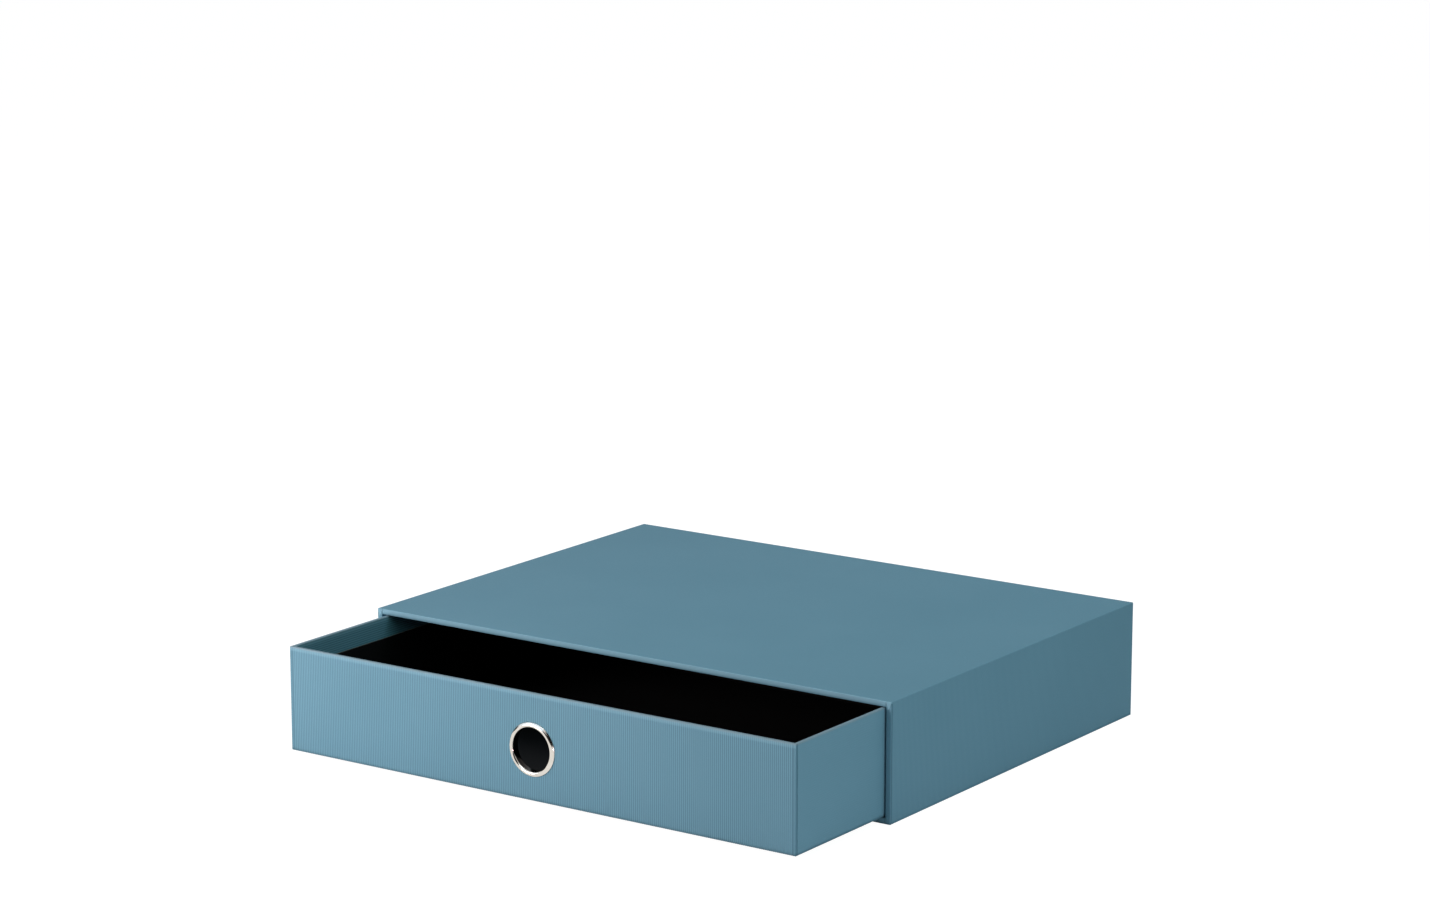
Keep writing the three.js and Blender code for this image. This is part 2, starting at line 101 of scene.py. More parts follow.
class Finish:
    # A material or world whose nodes are all made by one method
    def __init__(self, holder):
        self.holder = holder
        holder.use_nodes = True
        self.tree = holder.node_tree
        self.tree.nodes.clear()

    def node(self, kind, settings=None, inputs=None):
        made = self.tree.nodes.new("ShaderNode" + kind)
        for key, value in (settings or {}).items():
            setattr(made, key, value)
        for key, value in (inputs or {}).items():
            if isinstance(value, Wire):
                self.tree.links.new(value.socket, made.inputs[key])
            else:
                made.inputs[key].default_value = value
        return made

    def wire(self, made, output=0):
        return Wire(self.tree, made.outputs[output])

    def place(self):
        # Object coordinates apart: x, y and z as wires, then the whole vector
        coordinates = self.node("TexCoord")
        vector = self.wire(coordinates, "Object")
        parts = self.node("SeparateXYZ", inputs={0: vector})
        return [self.wire(parts, name) for name in ("X", "Y", "Z")] + [vector]

    def noise(self, vector, scale, detail, stretch=(1, 1, 1)):
        # scale counts its clouds in a metre
        mapped = self.node("Mapping", inputs={"Vector": vector, "Scale": stretch})
        made = self.node(
            "TexNoise", inputs={"Vector": self.wire(mapped), "Scale": scale, "Detail": detail}
        )
        return self.wire(made)

    def mixColour(self, factor, first, second):
        # Sockets 6 and 7 and output 2 are the ones for colours
        made = self.node("Mix", {"data_type": "RGBA"}, {0: factor, 6: first, 7: second})
        return self.wire(made, 2)

    def band(self, value, low, high):
        # 0 below low, 1 above high, and smooth between them
        made = self.node(
            "MapRange", {"interpolation_type": "SMOOTHSTEP"}, {0: value, 1: low, 2: high}
        )
        return self.wire(made)

    def bump(self, height, distance, strength):
        made = self.node("Bump", inputs={"Height": height, "Distance": distance, "Strength": strength})
        return self.wire(made)

    def surface(self, **inputs):
        named = {key.replace("_", " "): value for key, value in inputs.items()}
        shader = self.node("BsdfPrincipled", inputs=named)
        self.node("OutputMaterial", inputs={"Surface": self.wire(shader)})


def colour(red, green, blue):
    # An sRGB colour of 0 to 255 as Blender's linear one
    def straighten(level):
        share = level / 255
        return share / 12.92 if share <= 0.04045 else ((share + 0.055) / 1.055) ** 2.4
    return (straighten(red), straighten(green), straighten(blue), 1)


def coat(piece, material):
    piece.data.materials.clear()
    piece.data.materials.append(material)


# Materials

coverPaper = {
    "light": colour(105, 148, 167),
    "dark": colour(94, 138, 157),
    # painted shade in the grooves and creases, and in the shaded places the callers give
    "grooveShade": colour(66, 104, 122),
    # paler where the folds are worn, and the lips' painted highlight
    "folded": colour(130, 173, 193),
    "rim": colour(124, 138, 146),
    # painted shade on the fold along the foot, which faces down away from the lamps
    "footShade": colour(58, 84, 96),
    "cloud": (14, 2),            # scale and detail of each noise
    "fibre": (1500, 3),
    "tooth": (4200, 2),
    "rubbed": (160, 3),
    "cloudShare": 0.7,
    "fibreShare": 0.6,
    "fibreHeight": 0.1,          # next to the ribs' depth
    "roughness": 0.68,
    "roughSpread": 0.12,
    "specular": 0.15,
    "bumpStrength": 0.5,
    "grooveShadeShare": 0.85,
    "foldedShare": 0.2,
    "leastRubbed": 0.4,
    "lipHighlightShare": 0.45,
    "rimShare": 0.6,
    "footShadeShare": 0.6,
    "footShadeHeight": 2.2 * mm,
    "footRoughness": 0.25,     # how much rougher the foot is
    "foldWidth": 0.8 * mm,
    "ribDepth": 0.1 * mm,
    "sheetPitch": 1.18 * mm,     # on the flat sheets at the back and underneath
}


def grooves(finish, along, start, pitch):
    # 0 on the ribs and 1 in the grooves between them
    turns = (along - start) * (2 * math.pi / pitch)
    wave = finish.wire(finish.node("Math", {"operation": "COSINE"}, {0: turns}))
    grooveShade = 0.5 - wave * 0.5
    return grooveShade * grooveShade


def nearFaces(finish, place, low, high, width):
    # For each axis 1 at the box's two faces and 0 from width inwards
    near = []
    for along, first, last in zip(place, low, high):
        inside = (last - first) / 2 - abs(along - (first + last) / 2)
        near.append(1 - finish.band(inside, 0, width))
    return near


def coverPaperFinish(name, low, high, grooveShade, lip=None, rim=None, footShare=1.0):
    # Dyed cover paper: cloudy tone, fine fibres, painted shade in grooves and creases, paler worn folds,
    # painted highlights on the lips, a greyer rim and painted shade along the foot
    look = coverPaper
    finish = Finish(bpy.data.materials.new(name))
    place = finish.place()
    vector = place.pop()
    cloud = finish.noise(vector, *look["cloud"])
    fibre = finish.noise(vector, *look["fibre"])
    tooth = finish.noise(vector, *look["tooth"])
    rubbed = finish.noise(vector, *look["rubbed"])
    spread = (fibre - 0.5) * look["roughSpread"]
    tone = 0.5 + (cloud - 0.5) * look["cloudShare"] + (fibre - 0.5) * look["fibreShare"]
    shade = finish.mixColour(tone, look["dark"], look["light"])
    # depth presses the grooves in for the bump and also paints them darker: painted shade
    depth = grooveShade(finish, *place)
    shade = finish.mixColour(depth * look["grooveShadeShare"], shade, look["grooveShade"])
    nearX, nearY, nearZ = nearFaces(finish, place, low, high, look["foldWidth"])
    fold = nearY * nearZ + nearZ * nearX
    worn = fold * (look["leastRubbed"] + rubbed) * look["foldedShare"]
    shade = finish.mixColour(worn, shade, look["folded"])
    # painted highlight on the lips
    if lip is not None:
        shade = finish.mixColour(lip(finish, *place) * look["lipHighlightShare"], shade, look["folded"])
    if rim is not None:
        shade = finish.mixColour(rim(finish, *place) * look["rimShare"], shade, look["rim"])
    # painted shade along the foot's fold, and a rougher foot
    foot = 1 - finish.band(place[2], low[2], low[2] + look["footShadeHeight"])
    shade = finish.mixColour(foot * (footShare * look["footShadeShare"]), shade, look["footShade"])
    height = fibre * look["fibreHeight"] + tooth * look["fibreHeight"] - depth
    finish.surface(
        Base_Color=shade,
        Roughness=look["roughness"] + spread + foot * look["footRoughness"],
        Specular_IOR_Level=look["specular"],
        Normal=finish.bump(height, look["ribDepth"], look["bumpStrength"]),
    )
    return finish.holder


liningPaper = {
    "face": colour(9, 9, 10),
    "fleck": colour(17, 17, 19),
    "cutEdge": colour(92, 96, 96),
    "fibre": (1300, 3),          # scale and detail of its noise
    "fleckFrom": 0.45,
    "fleckTo": 0.75,
    "edgeFrom": 0.06 * mm,       # below the sheet's top
    "edgeTo": 0.02 * mm,
    "roughness": 0.8,
    "roughSpread": 0.1,
    "specular": 0.12,
    "fibreHeight": 0.03 * mm,
    "bumpStrength": 0.6,
}


def liningPaperFinish(name, cutEdgeHeight=None):
    # Black lining paper; at cutEdgeHeight, its top, the pale core shows
    look = liningPaper
    finish = Finish(bpy.data.materials.new(name))
    z, vector = finish.place()[2:]
    fibre = finish.noise(vector, *look["fibre"])
    fleck = finish.band(fibre, look["fleckFrom"], look["fleckTo"])
    shade = finish.mixColour(fleck, look["face"], look["fleck"])
    if cutEdgeHeight is not None:
        edge = finish.band(z, cutEdgeHeight - look["edgeFrom"], cutEdgeHeight - look["edgeTo"])
        shade = finish.mixColour(edge, shade, look["cutEdge"])
    finish.surface(
        Base_Color=shade,
        Roughness=look["roughness"] + (fibre - 0.5) * look["roughSpread"],
        Specular_IOR_Level=look["specular"],
        Normal=finish.bump(fibre, look["fibreHeight"], look["bumpStrength"]),
    )
    return finish.holder


greyBoard = {
    "light": colour(158, 151, 139),
    "dark": colour(112, 107, 99),
    "pulp": (600, 4),            # scale and detail of each noise
    "fleck": (2600, 2),
    "layers": (1, 1, 2.5),       # stretches the flecks into pressed layers
    "pulpShare": 0.7,
    "fleckShare": 0.5,
    "darker": 0.1,
    "roughness": 0.95,
    "roughSpread": 0.1,
    "specular": 0.2,
    "fibreHeight": 0.05 * mm,
    "bumpStrength": 0.6,
}


def greyBoardFinish(name):
    # Recycled board: cloudy grey with darker flecks and pressed layers
    look = greyBoard
    finish = Finish(bpy.data.materials.new(name))
    vector = finish.place().pop()
    pulp = finish.noise(vector, *look["pulp"])
    fleck = finish.noise(vector, *look["fleck"], look["layers"])
    tone = pulp * look["pulpShare"] + fleck * look["fleckShare"] - look["darker"]
    finish.surface(
        Base_Color=finish.mixColour(tone, look["dark"], look["light"]),
        Roughness=look["roughness"] - fleck * look["roughSpread"],
        Specular_IOR_Level=look["specular"],
        Normal=finish.bump(pulp + fleck, look["fibreHeight"], look["bumpStrength"]),
    )
    return finish.holder


nickel = {
    "bright": colour(226, 221, 213),
    "dull": colour(196, 190, 181),
    "shaded": colour(24, 20, 18),
    "haze": (300, 3),            # scale and detail of each noise
    "spun": (60, 2),
    "spinning": (1, 40, 1),      # stretches the spun lines round the ring
    "roughness": 0.13,
    "roughSpread": 0.08,
    "lineHeight": 0.004 * mm,
    "bumpStrength": 0.4,
    "boreRadius": 12.1 * mm,     # the metal inside it gets painted shade towards the back
    "shadeStart": -0.7 * mm,     # from the drawer's front face
    "shadeEnd": 0.1 * mm,
}


def nickelFinish(name):
    # Plated sheet metal: fine spun lines round the ring and a faint haze, with painted shade inside the
    # bore
    look = nickel
    finish = Finish(bpy.data.materials.new(name))
    x, y, z, vector = finish.place()
    haze = finish.noise(vector, *look["haze"])
    spun = finish.noise(vector, *look["spun"], look["spinning"])
    low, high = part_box("finger_ring")
    outX, outZ = x - (low[0] + high[0]) / 2, z - (low[2] + high[2]) / 2
    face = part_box("drawer_cover_paper")[0][1]
    # painted shade on the bore's metal behind the paper's face, standing in for the dark drawer it
    # mirrors
    behind = finish.band(y, face + look["shadeStart"], face + look["shadeEnd"])
    boreShadeMask = (outX * outX + outZ * outZ < look["boreRadius"] ** 2) * behind
    shade = finish.mixColour(haze, look["dull"], look["bright"])
    finish.surface(
        Base_Color=finish.mixColour(boreShadeMask, shade, look["shaded"]),
        Metallic=1.0,
        Roughness=look["roughness"] + (haze - 0.5) * look["roughSpread"],
        Normal=finish.bump(haze + spun, look["lineHeight"], look["bumpStrength"]),
    )
    return finish.holder


# Modelling helpers

def startCube(name, low, high):
    # A cube primitive between two corners, left open in edit mode
    bpy.ops.object.select_all(action="DESELECT")
    bpy.ops.mesh.primitive_cube_add(size=1, location=(low + high) / 2)
    piece = bpy.context.object
    piece.name = name
    piece.scale = high - low
    bpy.ops.object.transform_apply(location=True, rotation=True, scale=True)
    bpy.ops.object.mode_set(mode="EDIT")
    return piece


def pick(piece, kind, test):
    # Selects, of the mesh being edited, the verts, edges or faces that pass the test
    modes = {"verts": "VERT", "edges": "EDGE", "faces": "FACE"}
    bpy.ops.mesh.select_mode(type=modes[kind])
    bpy.ops.mesh.select_all(action="DESELECT")
    mesh = bmesh.from_edit_mesh(piece.data)
    for element in getattr(mesh, kind):
        if test(element):
            element.select_set(True)
    mesh.select_flush_mode()
    bmesh.update_edit_mesh(piece.data)


def middle(edge):
    return (edge.verts[0].co + edge.verts[1].co) / 2


def runsAlong(edge, axis, shortest=0.0):
    # True if the edge is parallel to an axis (0, 1 or 2) and longer than shortest
    span = edge.verts[1].co - edge.verts[0].co
    return span.length > shortest and abs(span[axis]) > straight * span.length


def insetLoop(size, wall, axes, centre):
    # Extrudes the selected loop of edges and draws it in by wall along two axes
    share = [1 - 2 * wall / size[i] if i in axes else 1 for i in range(3)]
    bpy.ops.mesh.extrude_region_move(TRANSFORM_OT_translate={"value": (0, 0, 0)})
    bpy.ops.transform.resize(value=share, center_override=centre)


def ribSpan(low, high, margin, ribs):
    # Where a row of ribs starts between two ends, and its pitch
    start = low + margin
    return start, (high - margin - start) / ribs


def finishSheet(piece, thickness):
    # Gives the sheet its thickness inwards and smooths its folds
    bpy.ops.object.mode_set(mode="OBJECT")
    wall = piece.modifiers.new("paper", "SOLIDIFY")
    wall.thickness = thickness
    wall.offset = -1
    wall.use_even_offset = True
    bpy.ops.object.modifier_apply(modifier=wall.name)
    bpy.ops.object.shade_smooth_by_angle(angle=math.radians(smoothDegrees))


# Each rib has four columns of points: which of them are pressed in, and how far
ribColumns = 4
ribShares = (((1, 3), 0.5), ((2,), 1.0))


def ribWave(piece, inBand, axis, start, pitch, depth):
    # Presses the grooves between the ribs into the sheet
    def column(vert):
        return round((vert.co[axis] - start) / (pitch / ribColumns)) % ribColumns

    for columns, share in ribShares:
        pick(piece, "verts", lambda vert: inBand(vert) and column(vert) in columns)
        bpy.ops.transform.shrink_fatten(value=-share * depth)


# Sleeve's cover sheet

sleeveWrap = {
    "paper": 0.3 * mm,
    "wall": 3.1 * mm,
    "turnIn": 15 * mm,
    "turnOver": 12 * mm,
    "foldRadius": 0.4 * mm,
    "mouthInnerRadius": 0.4 * mm,
    "foldSteps": 4,
    "ribs": 210,
    "ribCuts": (13, 14, 3),      # 14 by 15 ribs of 4 columns
    "ribReach": 0.99,            # only edges of nearly the whole depth are divided
    "ribDepth": 0.06 * mm,
    "ribShare": 0.45,            # how much its shading shows, next to the drawer's
    "gatherTop": 1.0 * mm,       # the V of creases at the mouth's top corners, below the top; painted light above it and painted shadow below
    "gatherPoint": 4.6 * mm,
    "creaseCore": 0.06 * mm,     # a crease is darkest this near its middle
    "creaseWidth": 0.3 * mm,
    "frontFrom": 0.09 * mm,      # behind the mouth's face its finish fades out
    "frontTo": 0.6 * mm,
    "palestLip": 1.1 * mm,       # from the top to where the lip's painted highlight is palest
    "lipUnderShadeShare": 0.6,           # how much painted shade its lower half gets
    "footShare": 0.45,
    "endShadowShare": 1.0,             # painted shadow of the drawer on the side walls' ends, round the corner too
    "endFrom": 0.95 * mm,        # behind the mouth's face
    "endTo": 1.9 * mm,
    # painted shadow of the drawer on the walls' front faces below the V
    "endFaceShadowShare": 0.2,
    "slit": 0.3 * mm,
    "slitReach": 0.5 * mm,       # how deep behind the mouth's face the slit cuts the fold
    "flapFacing": 0.5,           # a flap's face points at least this much up or down
}


def sleeveCoverFinish():
    wrap = sleeveWrap
    low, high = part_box("sleeve_cover_paper")
    start, pitch = ribSpan(low[1], high[1], wrap["foldRadius"], wrap["ribs"])
    centreX, halfX = (low[0] + high[0]) / 2, (high[0] - low[0]) / 2
    fall = wrap["gatherPoint"] - wrap["gatherTop"]

    def front(finish, y):
        # 1 on the mouth's face
        return 1 - finish.band(y, low[1] + wrap["frontFrom"], low[1] + wrap["frontTo"])

    def aboveGather(x, z):
        # Height above the V of creases in the wall's end
        aside = abs(abs(x - centreX) - halfX + wrap["wall"] / 2) * (2 / wrap["wall"])
        return z - (high[2] - wrap["gatherPoint"]) - aside * fall

    def grooveShade(finish, x, y, z):
        # Ribs round the girth, creases in the mouth's top corners, and shading round the mouth: painted
        # shade in grooves, creases and the lip's lower half, and the drawer's painted shadow on the
        # walls' ends
        outX, fromTop = abs(x - centreX), high[2] - z
        onFront = front(finish, y)
        gather = aboveGather(x, z)
        inWall = (outX > halfX - wrap["wall"]) * onFront * (fromTop > wrap["gatherTop"])
        crease = 1 - finish.band(abs(gather), wrap["creaseCore"], wrap["creaseWidth"])
        # painted shade on the lip's lower half
        lipUnderShade = finish.band(fromTop, wrap["palestLip"], wrap["wall"]) * (outX < halfX - wrap["wall"])
        lipUnderShade = lipUnderShade * (fromTop < wrap["wall"] + wrap["paper"]) * onFront * wrap["lipUnderShadeShare"]
        ribs = grooves(finish, y, start, pitch) * wrap["ribShare"] * (1 - onFront)
        # painted shadow of the drawer on the side walls' ends, round the corner, and on their front faces
        # below the V
        end = 1 - finish.band(y, low[1] + wrap["endFrom"], low[1] + wrap["endTo"])
        end = end * (outX > halfX - wrap["paper"]) * (gather < 0) * wrap["endShadowShare"]
        below = (gather < 0) * inWall * wrap["endFaceShadowShare"]
        return ribs * (1 - end) + crease * inWall + lipUnderShade + end * (1 - inWall) + below

    def lip(finish, x, y, z):
        # Painted highlight on the fold along the top of the mouth, and painted light on the walls' ends
        # above the V
        inWall = abs(x - centreX) > halfX - wrap["wall"]
        pale = finish.band(aboveGather(x, z), 0, wrap["creaseWidth"])
        fromTop = high[2] - z
        flat = 1 - finish.band(fromTop, wrap["palestLip"], wrap["wall"])
        return front(finish, y) * (inWall * pale + (1 - inWall) * flat)

    return coverPaperFinish("sleeve cover paper", low, high, grooveShade, lip, footShare=wrap["footShare"])


def nearShell(point, centre, size, radius):
    # True on the tube's outer faces and folds, and false on what is turned in
    inX = size.x / 2 - abs(point.x - centre.x)
    inZ = size.z / 2 - abs(point.z - centre.z)
    return min(inX, inZ) < radius


def makeSleeveCover():
    wrap = sleeveWrap
    low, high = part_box("sleeve_cover_paper")
    low, high = Vector(low), Vector(high)
    size, centre = high - low, (low + high) / 2
    piece = startCube("sleeveCover", low, high)
    pick(piece, "faces", lambda face: abs(face.normal.y) > facing)
    bpy.ops.mesh.delete(type="FACE")

    # The mouth's lip and turned-in edge, and the edge turned over at the back
    pick(piece, "edges", lambda edge: middle(edge).y < low.y + hair)
    insetLoop(size, wrap["wall"], (0, 2), centre)
    bpy.ops.mesh.extrude_region_move(TRANSFORM_OT_translate={"value": (0, wrap["turnIn"], 0)})
    pick(piece, "edges", lambda edge: middle(edge).y > high.y - hair)
    insetLoop(size, wrap["turnOver"], (0, 2), centre)

    # Folds
    def onOuter(point):
        return (
            abs(abs(point.x - centre.x) - size.x / 2) < hair
            or abs(abs(point.z - centre.z) - size.z / 2) < hair
        )

    def outerFold(edge):
        point = middle(edge)
        atEnd = point.y < low.y + hair or point.y > high.y - hair
        return all(onOuter(vert.co) for vert in edge.verts) and onOuter(point) and (
            atEnd or runsAlong(edge, 1, size.y / 2)
        )

    pick(piece, "edges", outerFold)
    bpy.ops.mesh.bevel(offset=wrap["foldRadius"], segments=wrap["foldSteps"], affect="EDGES")

    innerX = size.x / 2 - wrap["wall"]
    innerZ = size.z / 2 - wrap["wall"]

    def innerLip(edge):
        point = middle(edge) - centre
        onX = abs(abs(point.x) - innerX) < hair and abs(point.z) < innerZ
        onZ = abs(abs(point.z) - innerZ) < hair and abs(point.x) < innerX
        return middle(edge).y < low.y + hair and (onX or onZ)

    pick(piece, "edges", innerLip)
    bpy.ops.mesh.bevel(offset=wrap["mouthInnerRadius"], segments=wrap["foldSteps"], affect="EDGES")

    # Ribs round the girth
    ribStart, pitch = ribSpan(low.y, high.y, wrap["foldRadius"], wrap["ribs"])
    ribEnd = high.y - wrap["foldRadius"]
    parts = 1
    for cuts in wrap["ribCuts"]:
        longest = (ribEnd - ribStart) / parts
        pick(piece, "edges", lambda edge: (
            runsAlong(edge, 1, wrap["ribReach"] * longest)
            and edge.verts[0].co.y > ribStart - hair and edge.verts[1].co.y > ribStart - hair
            and nearShell(middle(edge), centre, size, wrap["foldRadius"])
        ))
        bpy.ops.mesh.subdivide(number_cuts=cuts)
        parts *= cuts + 1
    ribWave(
        piece,
        lambda vert: ribStart + hair < vert.co.y < ribEnd - hair
        and nearShell(vert.co, centre, size, wrap["foldRadius"]),
        1, ribStart, pitch, wrap["ribDepth"],
    )

    # Slits beside the flaps that are turned in at the top and the bottom
    planes = (innerX, innerX - wrap["slit"])

    def inLip(face):
        point = face.calc_center_median() - centre
        return point.y < -size.y / 2 + wrap["slitReach"] and abs(point.z) > innerZ - hair

    def inFlap(face):
        point = face.calc_center_median() - centre
        level = abs(face.normal.z) > wrap["flapFacing"]
        within = abs(point.z) < innerZ + wrap["mouthInnerRadius"]
        return level and within and point.y < -size.y / 2 + wrap["turnIn"]

    for side in (-1, 1):
        for plane in planes:
            pick(piece, "faces", lambda face: inLip(face) or inFlap(face))
            bpy.ops.mesh.bisect(plane_co=(centre.x + side * plane, 0, 0), plane_no=(1, 0, 0))
        pick(piece, "faces", lambda face: (inLip(face) or inFlap(face)) and (
            planes[1] < side * (face.calc_center_median().x - centre.x) < planes[0]
        ))
        bpy.ops.mesh.delete(type="FACE")

    finishSheet(piece, wrap["paper"])
    coat(piece, sleeveCoverFinish())
    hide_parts("sleeve_cover_paper")
    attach(piece, "sleeve")
    print("sleeve cover:", len(piece.data.polygons), "faces")


# Drawer's cover sheet

drawerWrap = {
    "paper": 0.3 * mm,
    "wall": 2.2 * mm,
    "turnIn": 11.5 * mm,
    "foldRadius": 0.4 * mm,
    "foldSteps": 4,
    "frontRibs": 273,
    "frontRibCuts": (12, 20, 3),     # 13 by 21 ribs of 4 columns
    "frontRibReach": 0.9,            # edges of nearly the whole width are divided, inside too
    "plainStrip": 1.7 * mm,          # at the front's two ends, behind a thin crease
    "stripShare": 0.5,               # how much the strip is shaded, and its crease
    "creaseShare": 0.8,
    "creaseCore": 0.15 * mm,         # a crease is darkest this near its middle
    "creaseWidth": 0.5 * mm,
    "outerSideShare": 0.05,          # how much the side walls' ribs show outside
    "outerSideDepth": 0.03 * mm,
    "greyTop": 1.2 * mm,             # down to here the rim is greyer
    "palestTop": 1.5 * mm,           # down to here the painted highlight on the front's fold is palest
    "paleTop": 2.8 * mm,             # and down to here it is paler than the rest
    "paleShare": 0.7,
    "paleSide": 0.2 * mm,            # the side walls' outer faces aren't paler
    "sideRibs": 47,
    "turnInRibs": 9,
    "ribDepth": 0.1 * mm,
    "seamInset": 1.2 * mm,
    "seamShare": 0.5,                # how dark the joint looks, besides its slit
    "slit": 0.3 * mm,
    "holeRadius": 12.65 * mm,
    "holeHeight": 27.4 * mm,         # above the drawer's underside
    "holeSteps": 96,
    "cutterDepth": 10 * mm,
}


def drawerCoverFinish():
    wrap = drawerWrap
    low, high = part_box("drawer_cover_paper")
    centreX, halfX = (low[0] + high[0]) / 2, (high[0] - low[0]) / 2
    centreY, halfY = (low[1] + high[1]) / 2, (high[1] - low[1]) / 2
    front = ribSpan(low[0], high[0], wrap["foldRadius"], wrap["frontRibs"])
    side = ribSpan(low[2], high[2], wrap["foldRadius"], wrap["sideRibs"])
    turnInStart = high[2] - wrap["turnIn"]
    turnIn = (turnInStart, (wrap["turnIn"] - wrap["foldRadius"]) / wrap["turnInRibs"])

    def grooveShade(finish, x, y, z):
        # Ribs upright on the front and the back, level on the side walls; creases and joints. Grooves and
        # creases get painted shade, and the strips at the front's ends are darker too
        outX, outY = abs(x - centreX), abs(y - centreY)
        fromCrease = outX - halfX + wrap["plainStrip"]
        plain = finish.band(fromCrease, 0, wrap["slit"])
        crease = 1 - finish.band(abs(fromCrease), wrap["creaseCore"], wrap["creaseWidth"])
        ribs = grooves(finish, x, *front) * (1 - plain) + plain * wrap["stripShare"]
        upright = ribs * (1 - crease) + crease * wrap["creaseShare"]
        turned = outX < halfX - wrap["wall"] / 2
        outside = grooves(finish, z, *side) * wrap["outerSideShare"]
        level = turned * grooves(finish, z, *turnIn) + (1 - turned) * outside
        onSide = (outX > halfX - wrap["wall"] - wrap["paper"]) * (outY < halfY - wrap["seamInset"])
        fromSeam = abs(outY - halfY + wrap["seamInset"] + wrap["slit"] / 2)
        seam = (1 - finish.band(fromSeam, wrap["slit"] / 2, wrap["slit"])) * wrap["seamShare"]
        seam = seam * onSide * (1 - turned)
        return onSide * level + (1 - onSide) * upright + seam

    def lip(finish, x, y, z):
        # Painted highlight on the fold below the rim
        pale = finish.band(z, high[2] - wrap["paleTop"], high[2] - wrap["palestTop"])
        return pale * (abs(x - centreX) < halfX - wrap["paleSide"]) * wrap["paleShare"]

    def rim(finish, x, y, z):
        # The rim itself, greyer than the paper
        return finish.band(z, high[2] - wrap["greyTop"], high[2])

    return coverPaperFinish("drawer cover paper", low, high, grooveShade, lip, rim)


